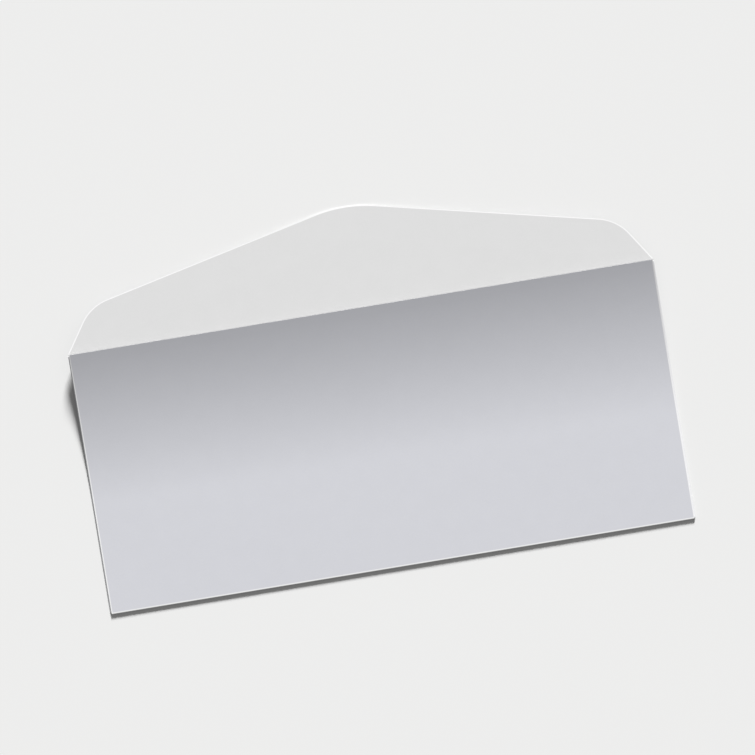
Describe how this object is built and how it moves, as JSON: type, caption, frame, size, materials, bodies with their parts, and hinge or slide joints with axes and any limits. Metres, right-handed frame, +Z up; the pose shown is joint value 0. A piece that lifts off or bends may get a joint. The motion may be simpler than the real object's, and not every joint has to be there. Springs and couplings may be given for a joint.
{
  "type": "envelope",
  "caption": "Long paper letter envelope lying open on its address face, seal flap folded back past flat, its body rising gently to the seal fold.",
  "frame": {"origin": "under the middle of the whole outline, on the table", "axes": "+X along the folds, +Y towards the tip of the open seal flap, +Z up"},
  "size_m": [0.2414, 0.1486, 0.007],
  "materials": {
    "paper": "matt uncoated"
  },
  "bodies": {
    "root": {"envelope": "paper"}
  },
  "joints": []
}
